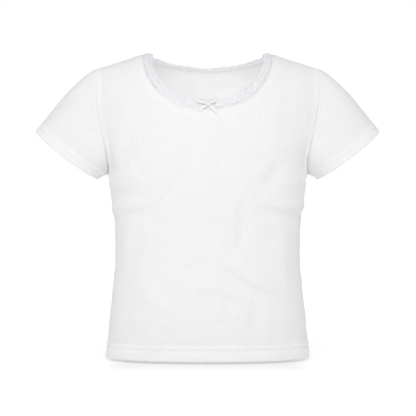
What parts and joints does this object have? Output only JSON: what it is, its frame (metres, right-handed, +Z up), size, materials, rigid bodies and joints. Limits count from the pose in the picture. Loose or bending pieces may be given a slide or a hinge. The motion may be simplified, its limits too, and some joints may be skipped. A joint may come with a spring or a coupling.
{
  "type": "t-shirt",
  "caption": "Child's white rib-knit T-shirt with short set-in sleeves, a scoop neck edged in scalloped lace, a small ribbon bow and plain hems, filled out as worn.",
  "frame": {"origin": "midway between the neck ends of the two shoulder seams, where a wearer's shoulders carry the shirt", "axes": "+Z up, +X to the right of someone facing the shirt's front, and the front faces -Y"},
  "size_m": [0.449, 0.1567, 0.397],
  "materials": {
    "rib_knit": "matte",
    "lace": "matte",
    "ribbon": "satin"
  },
  "bodies": {
    "root": {"front": "rib_knit", "back": "rib_knit", "sleeve_left": "rib_knit", "sleeve_right": "rib_knit", "neck_lace": "lace", "bow_loop_left": "ribbon", "bow_loop_right": "ribbon", "bow_tail_left": "ribbon", "bow_tail_right": "ribbon", "bow_knot": "ribbon"}
  },
  "joints": []
}
